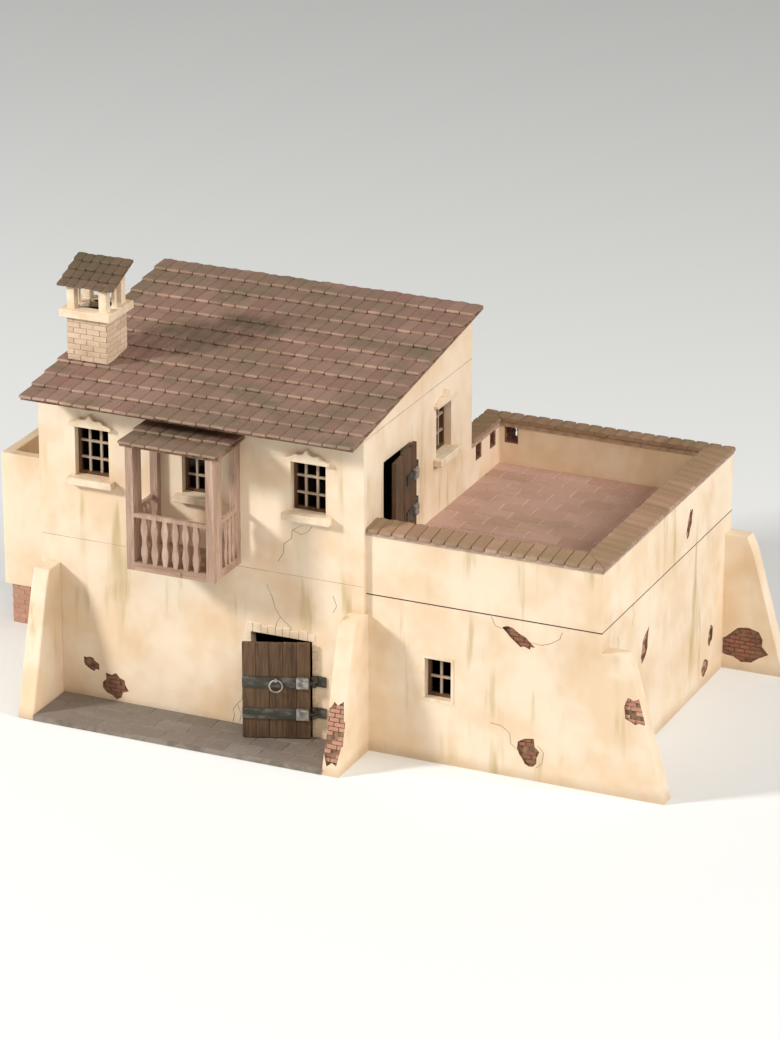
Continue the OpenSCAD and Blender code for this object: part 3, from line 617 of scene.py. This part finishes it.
def brick_faces(bm, low, high, course, length, proud, sides, seed):
    """Bricks in staggered courses over some sides of a box, each a little proud of it."""
    draw = random.Random(seed)
    rows = max(1, round((high.z - low.z) / course))
    step = (high.z - low.z) / rows
    joint = 0.13 * MM
    for side in sides:
        span = high.x - low.x if side in ("front", "back") else high.y - low.y
        for row in range(rows):
            s = -length / 2 if row % 2 else 0.0
            while s < span - 0.4 * MM:
                a, b = max(s, -proud) + joint, min(s + length, span + proud) - joint
                out = proud * draw.uniform(0.55, 1.0)
                z0, z1 = low.z + row * step + joint, low.z + (row + 1) * step - joint
                if b - a > 0.6 * MM:
                    if side == "front":
                        corners = (low.x + a, low.y - out, z0), (low.x + b, low.y + BRICK_SEAT, z1)
                    elif side == "back":
                        corners = (low.x + a, high.y - BRICK_SEAT, z0), (low.x + b, high.y + out, z1)
                    elif side == "left":
                        corners = (low.x - out, low.y + a, z0), (low.x + BRICK_SEAT, low.y + b, z1)
                    else:
                        corners = (high.x - BRICK_SEAT, low.y + a, z0), (high.x + out, low.y + b, z1)
                    bm.from_mesh(worn_box(*corners, 0.1 * MM))
                s += length


stack_low, stack_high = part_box("chimney_stack")
bricks = bmesh.new()
brick_faces(bricks, stack_low, stack_high, 2.2 * MM, 5.7 * MM, 0.22 * MM,
            ("front", "left", "right", "back"), 41)
roof_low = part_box("roof_tiles")[0]
roof_pitch = board_pitch("roof_tiles", ROOF_T)
stack_foot = roof_low.z + ROOF_T + (stack_low.y - roof_low.y) * math.tan(roof_pitch) - 0.6 * MM
mitre(bricks, (0, stack_low.y, stack_foot), (0, math.sin(roof_pitch), -math.cos(roof_pitch)))
piece("chimney_bricks", bricks, HOUSE, "trim_stone", CHIMNEY_BRICK)

plinth_low, plinth_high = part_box("bay_plinth")
bricks = bmesh.new()
brick_faces(bricks, plinth_low, plinth_high, 2.1 * MM, 5.6 * MM, 0.25 * MM, ("front", "left", "back"), 42)
piece("plinth_bricks", bricks, HOUSE, "brick", RED_BRICK)


def ragged(width, height, tilt, points, seed, rough=0.34):
    """A broken outline round the middle of a hole in the plaster."""
    draw = random.Random(seed)
    outline = []
    for i in range(points):
        angle = 2 * math.pi * i / points
        reach = 1 - rough * draw.random()
        outline.append(turn(tilt) @ Vector((math.cos(angle) * width / 2 * reach,
                                            math.sin(angle) * height / 2 * reach, 0)))
    return outline


def prism_into(bm, outline, place, low, high):
    """Adds a prism over an outline in a face's own frame."""
    base = [bm.verts.new(place @ (p + Vector((0, 0, low)))) for p in outline]
    face = bm.faces.new(base)
    top = bmesh.ops.extrude_face_region(bm, geom=[face])["geom"]
    rise = place.to_3x3() @ Vector((0, 0, high - low))
    bmesh.ops.translate(bm, vec=rise, verts=[v for v in top if isinstance(v, bmesh.types.BMVert)])


def combined(obj, other, operation):
    """Cuts or trims an object by another and keeps the result in its mesh."""
    modifier = obj.modifiers.new("cut", "BOOLEAN")
    modifier.operation = operation
    modifier.solver = "EXACT"
    modifier.object = other
    graph = bpy.context.evaluated_depsgraph_get()
    mesh = bpy.data.meshes.new_from_object(obj.evaluated_get(graph))
    obj.modifiers.clear()
    obj.data = mesh


HOLE_DEPTH = 1.1 * MM
HOLE_POINTS = 15
BRICK_BELOW = 0.45 * MM
BRICK_STEP = 1.75 * MM
BRICK_LENGTH = 4.4 * MM
BRICKS_LOST = 0.26


def brick_bed(draw, place, reach):
    """Courses of bricks round the middle of a hole, with some of them lost."""
    bm = bmesh.new()
    rows = math.ceil(reach / BRICK_STEP) + 1
    for row in range(-rows, rows):
        x = -reach - (BRICK_LENGTH / 2 if row % 2 else 0)
        while x < reach:
            if draw.random() > BRICKS_LOST:
                top = -BRICK_BELOW - draw.uniform(0, 0.3) * MM
                low = (x, row * BRICK_STEP + BRICK_JOINT, -HOLE_DEPTH - SEAT)
                high = (x + BRICK_LENGTH - 0.3 * MM, (row + 1) * BRICK_STEP - BRICK_JOINT, top)
                copies_into(bm, worn_box(low, high, BRICK_WEAR), [place])
            x += BRICK_LENGTH
    return bm


def damage(node, face, holes, seed, brick_finish=RED_BRICK):
    """Breaks a node's plaster open over its bricks.

    A hole is its middle, its width and its height in millimetres on the face, and its tilt in degrees.
    """
    draw = random.Random(seed)
    filling = bmesh.new()
    wall = piece(node + "_broken", merged(node), HOUSE, "plaster", PLASTER, BROKEN_EDGE_SHADE)
    whole = placed("whole", merged(node))
    for number, (s, t, width, height, tilt) in enumerate(holes):
        place = face @ shift(s * MM, t * MM)
        hole = bmesh.new()
        outline = ragged(width * MM, height * MM, tilt, HOLE_POINTS, seed + number)
        prism_into(hole, outline, place, -HOLE_DEPTH, 1.5 * MM)
        # The hole's sides take the second finish, painted shade on the broken edges.
        for side in hole.faces:
            side.material_index = 1
        cutter = placed("cutter", hole)
        bricks = placed("bricks", brick_bed(draw, place, max(width, height) * MM / 2))
        combined(wall, cutter, "DIFFERENCE")
        combined(bricks, cutter, "INTERSECT")
        combined(bricks, whole, "INTERSECT")
        filling.from_mesh(bricks.data)
        bpy.data.objects.remove(cutter)
        bpy.data.objects.remove(bricks)
    bpy.data.objects.remove(whole)
    for side in filling.faces:
        side.material_index = 0
    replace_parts(wall, node)
    piece(node + "_bricks", filling, HOUSE, "brick", brick_finish)


FRONT_FACE = facing_front(LEFT_X, FRONT_Y)
SIDE_FACE = facing_front(RIGHT_X, SIDE_Y)
END_FACE = facing_right(END_X, SIDE_Y)
MAIN_END_FACE = facing_right(RIGHT_X, FRONT_Y)

damage("ground_front_wall_left", FRONT_FACE, [(20.5, 16.3, 9.5, 6, -30), (31, 8.8, 13, 12, -38)],
       51, SHADOWED_BRICK)
damage("side_front_wall", SIDE_FACE, [(63, 58, 17, 5.6, -30), (67.5, 11.8, 10, 15, 8)], 54, SHADOWED_BRICK)
damage("parapet_right", END_FACE, [(91, 77, 5.4, 15, -20)], 57)
damage("side_right_wall", END_FACE, [(45, 43, 7, 17, -24), (118, 19.5, 6, 10, -18),
                                     (112.5, 7.6, 9, 8, 15)], 59)


EMBRASURE_W = 6 * MM
PARAPET_T = 8.5 * MM
TERRACE_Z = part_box("terrace_floor")[1].z
EMBRASURE_Z = TERRACE_Z + 9 * MM
EMBRASURE_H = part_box("parapet_back")[1].z - EMBRASURE_Z
EMBRASURE_COURSES = 4


def lined(bm, place):
    """Bricks inside an embrasure, thicker towards its outer side. z runs out to the terrace."""
    step = EMBRASURE_H / EMBRASURE_COURSES
    for row in range(EMBRASURE_COURSES):
        low, high = row * step + 0.1 * MM, (row + 1) * step - 0.1 * MM
        split = PARAPET_T * (0.5 if row % 2 else 0.42)
        for a, b, deep, shallow in ((-PARAPET_T + 0.2 * MM, -split - 0.1 * MM, 1.7 * MM, 1.5 * MM),
                                    (-split, -0.2 * MM, 0.7 * MM, 0.5 * MM)):
            thick = deep if row % 2 else shallow
            for left, right in ((-0.2 * MM, thick), (EMBRASURE_W - thick, EMBRASURE_W + 0.2 * MM)):
                copies_into(bm, worn_box((left, low, a), (right, high, b), BRICK_WEAR), [place])
    sill = worn_box((0, -0.3 * MM, -PARAPET_T + 0.2 * MM), (EMBRASURE_W, 0.4 * MM, -0.2 * MM), 0.1 * MM)
    copies_into(bm, sill, [place])


linings = bmesh.new()
lined(linings, facing_front(RIGHT_X + EMBRASURE_W / 3, SIDE_BACK_Y - PARAPET_T, EMBRASURE_Z))
LEFT_RUN = SIDE_BACK_Y - BACK_Y - PARAPET_T
for share in (1 / 4, 3 / 4):
    lined(linings, facing_right(RIGHT_X, BACK_Y + LEFT_RUN * share - EMBRASURE_W / 2, EMBRASURE_Z))
piece("embrasure_bricks", linings, HOUSE, "brick", SHADOWED_BRICK)


# ---------------------------------------------------------------- buttresses

foot_low, foot_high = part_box("buttress_front_right")
REACH = foot_high.y - foot_low.y - (SIDE_Y - FRONT_Y)
SHOULDER_LOW = 12 * MM
SLOPE_RISE = foot_high.z - 6 * MM
slope_up = Vector((0, REACH - SHOULDER_LOW, SLOPE_RISE)).normalized()
slope_out = Vector((0, -slope_up.z, slope_up.y))
BUTTRESS_SLOPE = frame_matrix(Vector((foot_low.x, foot_low.y, 0)), X_AXIS, slope_up, slope_out)
back_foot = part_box("buttress_side_back")[0]
BACK_BUTTRESS = facing_front(back_foot.x, back_foot.y)
damage("buttress_front_right", BUTTRESS_SLOPE, [(3.3, 17.5, 10.5, 32, 4)], 71)
damage("buttress_side_back", BACK_BUTTRESS, [(8.5, 11, 24, 17, 6)], 74, SHADOWED_BRICK)
damage("buttress_side_front", SIDE_FACE, [(111, 36, 11, 13, 25)], 77)
soften("buttress_front_left", 0.6 * MM, "plaster", PLASTER)
soften("bay_tray", 0.4 * MM, "plaster", PLASTER)
soften("window_sills", 0.35 * MM, "trim_stone", TRIM)
soften("window_pediments", 0.25 * MM, "trim_stone", TRIM)
soften("chimney_lantern", 0.2 * MM, "trim_stone", TRIM, 1)


# ---------------------------------------------------------------- cracks and joints in the plaster

def line_into(bm, face, points, width, proud):
    """A thin line along points on a face."""
    for (s0, t0), (s1, t1) in zip(points, points[1:]):
        along = Vector((s1 - s0, t1 - t0, 0)) * MM
        angle = math.degrees(math.atan2(along.y, along.x))
        place = face @ shift(s0 * MM, t0 * MM) @ turn(angle)
        verts = box_into(bm, (-width * 0.3, -width / 2, -0.1 * MM),
                         (along.length + width * 0.3, width / 2, proud))
        bmesh.ops.transform(bm, matrix=place, verts=verts)


# Cracks as points on a face, in millimetres from its lower corner.
cracks = bmesh.new()
for face, points in [
    (FRONT_FACE, [(98, 63), (100.2, 58), (101.4, 54), (103.6, 50.4), (102, 48), (101.4, 44.4)]),
    (FRONT_FACE, [(103.6, 50.4), (106, 48.4), (108, 46.8), (108.4, 44.2)]),
    (FRONT_FACE, [(113.4, 90), (109, 87.4), (108.6, 84), (105.4, 81), (105, 77), (102.8, 73.4)]),
    (FRONT_FACE, [(109, 87.4), (112.6, 86), (115.6, 87.6), (117.2, 90)]),
    (FRONT_FACE, [(84.6, 10.5), (86.2, 6.5), (85.6, 3)]),
    (FRONT_FACE, [(82.6, 2.6), (83.4, 5.5), (82.8, 7.8), (84.6, 10.5), (86.6, 12.6), (87.2, 17)]),
    (FRONT_FACE, [(126, 63), (127.5, 59), (126, 56)]),
    (SIDE_FACE, [(52, 64.8), (53.6, 61.4), (57, 60.6)]),
    (SIDE_FACE, [(68, 57), (72.5, 56.6), (76, 57.8), (80, 60.4), (81, 63.4)]),
    (SIDE_FACE, [(52, 21), (56.5, 20.6), (60, 18.2), (60.4, 14), (63.4, 11.6)]),
    (SIDE_FACE, [(71.6, 15), (74, 12.4), (73.4, 8), (71, 5.6)]),
    (END_FACE, [(15, 49), (17, 55), (16, 58)]),
    (END_FACE, [(10, 38), (7, 33), (8, 28), (5, 22)]),
    (END_FACE, [(31, 57), (33, 61), (32, 65)]),
]:
    line_into(cracks, face, points, 0.2 * MM, 0.03 * MM)
piece("plaster_cracks", cracks, HOUSE, "plaster", CRACK)


def level_into(bm, face, start, end, z, width, proud):
    """A level joint in the plaster, between two points along a face."""
    line_into(bm, face, [(start / MM, z / MM), (end / MM, z / MM)], width * MM, proud * MM)


MAIN_W, MAIN_D = RIGHT_X - LEFT_X, BACK_Y - FRONT_Y
END_GAP = 0.2 * MM
# Painted shade along the joint between the lower and upper modules.
seams = bmesh.new()
level_into(seams, SIDE_FACE, 0.3 * MM, END_X - RIGHT_X, SEAM_Z, 0.45, 0.03)
level_into(seams, END_FACE, 0, SIDE_BACK_Y - SIDE_Y, SEAM_Z, 0.4, 0.03)
piece("module_joint_shade", seams, HOUSE, "plaster", CREVICE_SHADE)
seams = bmesh.new()
level_into(seams, FRONT_FACE, END_GAP, MAIN_W - END_GAP, BAND_Z, 0.14, 0.02)
level_into(seams, FRONT_FACE, END_GAP, MAIN_W - END_GAP, WALL_TOP, 0.2, 0.02)
level_into(seams, MAIN_END_FACE, END_GAP, MAIN_D, WALL_TOP, 0.2, 0.02)
piece("storey_joints", seams, HOUSE, "plaster", CRACK)


# ---------------------------------------------------------------- windows

WINDOW_W, WINDOW_H, WINDOW_PITCH = 14.7 * MM, 20.8 * MM, 46.3 * MM
WINDOW_Z = FLOOR_Z + 21.7 * MM
SIDE_WINDOW_Y, SIDE_WINDOW_Z = 75.6 * MM, FLOOR_Z + 24.4 * MM
SMALL_X, SMALL_Z, SMALL_W, SMALL_H = 30.1 * MM, 26.7 * MM, 10.8 * MM, 16.4 * MM
BAR = 0.9 * MM
BAR_IN = 3.7 * MM


def bars_into(bm, face, middle, low, width=WINDOW_W, height=WINDOW_H, panes=3):
    """Glazing bars in an opening, with as many panes across as up. The level bars stand forwards."""
    left, right = middle - width / 2, middle + width / 2
    verts = []
    for i in range(1, panes):
        x = left + width * i / panes
        verts += box_into(bm, (x - BAR / 2, low, -BAR / 2), (x + BAR / 2, low + height, BAR / 2))
    for i in range(1, panes):
        z = low + height * i / panes
        verts += box_into(bm, (left, z - BAR / 2, -BAR * 0.35), (right, z + BAR / 2, BAR * 0.6))
    bmesh.ops.transform(bm, matrix=face, verts=verts)


glazing = bmesh.new()
for i in (-1, 0, 1):
    bars_into(glazing, facing_front(0, FRONT_Y + BAR_IN), i * WINDOW_PITCH, WINDOW_Z)
for i in (-1, 1):
    bars_into(glazing, facing_front(0, BACK_Y - BAR_IN), i * WINDOW_PITCH, WINDOW_Z)
bars_into(glazing, facing_right(RIGHT_X - BAR_IN, FRONT_Y), SIDE_WINDOW_Y, SIDE_WINDOW_Z)
bars_into(glazing, facing_front(RIGHT_X, SIDE_Y + BAR_IN), SMALL_X, SMALL_Z, SMALL_W, SMALL_H, 2)
piece("glazing_bars", glazing, HOUSE, "dark_timber", BAR_WOOD)


# ---------------------------------------------------------------- stones round the openings

STONE_JOINT = 0.08 * MM
STONE_WEAR = 0.15 * MM
RIM = 1.2 * MM


def surround_into(bm, face, left, right, low, high, stone, proud, seed):
    """Irregular stones up both sides of an opening and over its head."""
    draw = random.Random(seed)
    for side in (-1, 1):
        t = low
        while t < high - 0.8 * MM:
            tall = min(draw.uniform(0.85, 1.35) * stone, high - t)
            wide = draw.uniform(0.45, 0.95) * stone
            a, b = (left - wide, left) if side < 0 else (right, right + wide)
            top = (b, t + tall - STONE_JOINT, proud * draw.uniform(0.6, 1))
            copies_into(bm, worn_box((a, t + STONE_JOINT, -SEAT), top, STONE_WEAR), [face])
            t += tall
    s = left - stone * 0.8
    while s < right + stone * 0.3:
        wide = draw.uniform(0.7, 1.2) * stone
        tall = draw.uniform(0.8, 1.3) * stone
        top = (s + wide - STONE_JOINT, high + tall, proud)
        copies_into(bm, worn_box((s + STONE_JOINT, high, -SEAT), top, STONE_WEAR), [face])
        s += wide


lintel_low, lintel_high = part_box("ground_front_lintel")
stones = bmesh.new()
surround_into(stones, facing_front(0, FRONT_Y), lintel_low.x, lintel_high.x, 2.4 * MM, lintel_low.z,
              3.3 * MM, 0.28 * MM, 81)
piece("doorway_stones", stones, HOUSE, "trim_stone", TRIM)
rim = bmesh.new()
small_left, small_right = SMALL_X - SMALL_W / 2, SMALL_X + SMALL_W / 2
small_top = SMALL_Z + SMALL_H
for low, high in [((small_left - RIM, SMALL_Z - RIM), (small_right + RIM, SMALL_Z)),
                  ((small_left - RIM, small_top), (small_right + RIM, small_top + RIM)),
                  ((small_left - RIM, SMALL_Z), (small_left, small_top)),
                  ((small_right, SMALL_Z), (small_right + RIM, small_top))]:
    copies_into(rim, worn_box((*low, -SEAT), (*high, 0.3 * MM), 0.12 * MM), [SIDE_FACE])
piece("small_window_rim", rim, HOUSE, "trim_stone", TRIM)


# ---------------------------------------------------------------- doors

# Both doors stand open a little, by these angles in degrees.
AJAR = 20.0
TERRACE_AJAR = 6.0
LEAF_T = 1.8 * MM
HINGE_SIDE = 1.3 * MM
HINGE_OUT = 1.6 * MM
PLANKS = 5
STRAPS_Z = (10.5, 23.7)
RIVETS_X = (-25.5, -19.5, -9, -3.6)
SLEEVE_REACH = 6.6 * MM
TERRACE_LEAF_W = 25.8 * MM
TERRACE_DOOR_BACK = 43.75 * MM
hinge = Vector(frame["joints"][0]["pos_m"])


def planks(name, node, body, place, width, height, seed):
    """A leaf of upright planks with eased edges, some a hair shorter or further out."""
    draw = random.Random(seed)
    bm = bmesh.new()
    board = width / PLANKS
    for i in range(PLANKS):
        a = -HINGE_SIDE - width + i * board
        skew = draw.uniform(0, 0.14) * MM
        shape = worn_box((a + 0.05 * MM, -LEAF_T / 2 + skew, draw.uniform(0, 0.2) * MM),
                         (a + board - 0.05 * MM, LEAF_T / 2, height - draw.uniform(0, 0.35) * MM), 0.14 * MM, 2)
        copies_into(bm, shape, [place])
    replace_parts(piece(name, bm, body, "dark_timber", PLANK), node)


def sleeves(name, body, places, near, proud, half, wear, segments):
    """Sleeves over the straps' hinge ends. near is their gap to the hinge, half is half their height."""
    bm = bmesh.new()
    shape = worn_box((-SLEEVE_REACH, -LEAF_T / 2 - proud * MM, -half * MM),
                     (-near * MM, -LEAF_T / 2 + 0.1 * MM, half * MM), wear * MM, segments)
    copies_into(bm, shape, places)
    piece(name, bm, body, "dark_iron", STEEL)


leaf_low, leaf_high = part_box("door_leaf")
door_place = shift(hinge.x, hinge.y, leaf_low.z) @ turn(AJAR)
planks("door_planks", "door_leaf", DOOR, door_place, lintel_high.x - lintel_low.x + 0.3 * MM,
       leaf_high.z - leaf_low.z, 91)
leaf_low, leaf_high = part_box("terrace_door")
terrace_foot = leaf_low.z
terrace_place = (shift(RIGHT_X + HINGE_OUT, FRONT_Y + TERRACE_DOOR_BACK + HINGE_SIDE, terrace_foot)
                 @ turn(90 + TERRACE_AJAR))
planks("terrace_planks", "terrace_door", HOUSE, terrace_place, TERRACE_LEAF_W,
       leaf_high.z - terrace_foot, 92)

rivets = bmesh.new()
for x in RIVETS_X:
    for z in STRAPS_Z:
        spot = door_place @ shift(x * MM, -LEAF_T / 2 - 0.6 * MM, z * MM) @ Matrix.Diagonal((1, 0.6, 1, 1))
        bmesh.ops.create_uvsphere(rivets, u_segments=8, v_segments=6, radius=0.42 * MM, matrix=spot)
piece("door_rivets", rivets, DOOR, "dark_iron", IRON)
sleeves("door_sleeves", DOOR, [door_place @ shift(z=z * MM) for z in STRAPS_Z], 1.7, 1.7, 2.3, 0.3, 2)
strap_low, strap_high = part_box("terrace_hinges")
sleeves("terrace_sleeves", HOUSE, [terrace_place @ shift(z=z - terrace_foot)
                                   for z in (strap_low.z + 2.1 * MM, strap_high.z - 2.1 * MM)],
        2.4, 1.4, 2.2, 0.2, 1)

# A worn plate on the balcony's front beam.
plate = bmesh.new()
beam_low, beam_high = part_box("balcony_floor")
shape = worn_box((-5.6 * MM, -0.45 * MM, -1.2 * MM), (5.6 * MM, 0.2 * MM, 1.1 * MM), 0.15 * MM)
copies_into(plate, shape, [shift((beam_low.x + beam_high.x) / 2 - 1 * MM, beam_low.y, beam_low.z + 1.4 * MM)])
piece("balcony_plate", plate, HOUSE, "old_timber", BEAM_TIMBER)


# ---------------------------------------------------------------- finishes on the frame's own pieces

for node in frame["nodes"]:
    if not frame["nodes"][node].hide_render:
        paint(node, PLASTER)
for node, finish in {
    "base_floor": ROOM_FLOOR_SHADE, "pavement": STONE_BED, "terrace_floor": GROUT, "chimney_stack": MORTAR,
    "bay_plinth": MORTAR, "window_frames": FRAME_WOOD, "balcony_floor": BEAM_TIMBER,
    "balcony_posts": OLD_TIMBER, "balcony_rails": OLD_TIMBER, "terrace_hinges": IRON,
    "door_straps": IRON, "door_ring": STEEL, "door_brackets": IRON,
}.items():
    paint(node, finish)


# ---------------------------------------------------------------- stage, camera and light

pale = Finish("pale_floor", 0.95)
pale.shader.inputs["Specular IOR Level"].default_value = 0.0
pale.shader.inputs["Base Color"].default_value = (0.80, 0.84, 0.87, 1)
floor = bmesh.new()
box_into(floor, (-3, -3, -0.01), (3, 3, 0))
placed("floor", floor, pale.material)


def way(azimuth, elevation):
    """The direction from the house to a place round it, in degrees from the front and above the floor."""
    a, e = math.radians(azimuth), math.radians(elevation)
    return Vector((math.sin(a) * math.cos(e), -math.cos(a) * math.cos(e), math.sin(e)))


CAMERA_TARGET = Vector((80.4, -51.75, 97.9)) * MM
CAMERA_AZIMUTH, CAMERA_ELEVATION = 24.19, 21.59
CAMERA_DISTANCE = 1786.0 * MM
camera_data = bpy.data.cameras.new("camera")
camera_data.lens = 163.4
camera_data.sensor_width = 36
camera_data.clip_end = 20
camera = bpy.data.objects.new("camera", camera_data)
camera.location = CAMERA_TARGET + way(CAMERA_AZIMUTH, CAMERA_ELEVATION) * CAMERA_DISTANCE
camera.rotation_euler = (math.radians(90 - CAMERA_ELEVATION), 0, math.radians(CAMERA_AZIMUTH))
bpy.context.scene.collection.objects.link(camera)
bpy.context.scene.camera = camera

LAMP_TARGET = Vector((0.03, 0, 0.07))


def lamp(name, azimuth, elevation, distance, size, power, colour):
    """A soft square lamp that faces the house."""
    data = bpy.data.lights.new(name, "AREA")
    data.size = size
    data.energy = power
    data.color = colour
    obj = bpy.data.objects.new(name, data)
    obj.location = LAMP_TARGET + way(azimuth, elevation) * distance
    obj.rotation_euler = way(azimuth, elevation).to_track_quat("Z", "Y").to_euler()
    bpy.context.scene.collection.objects.link(obj)


# Each lamp's azimuth, elevation, distance, size, power and colour.
lamp("key", -52, 27, 1.5, 0.2, 19, (1.0, 0.965, 0.93))
lamp("right", 88, 30, 1.6, 0.6, 14, (1.0, 0.975, 0.96))
lamp("fill", 40, 40, 1.7, 0.9, 9, (1.0, 0.86, 0.70))
world = bpy.data.worlds.new("studio")
world.use_nodes = True
bpy.context.scene.world = world
sky = world.node_tree.nodes["Background"]
sky.inputs["Color"].default_value = (1.0, 0.95, 0.88, 1)
sky.inputs["Strength"].default_value = 0.29
bpy.context.scene.view_settings.view_transform = "Standard"
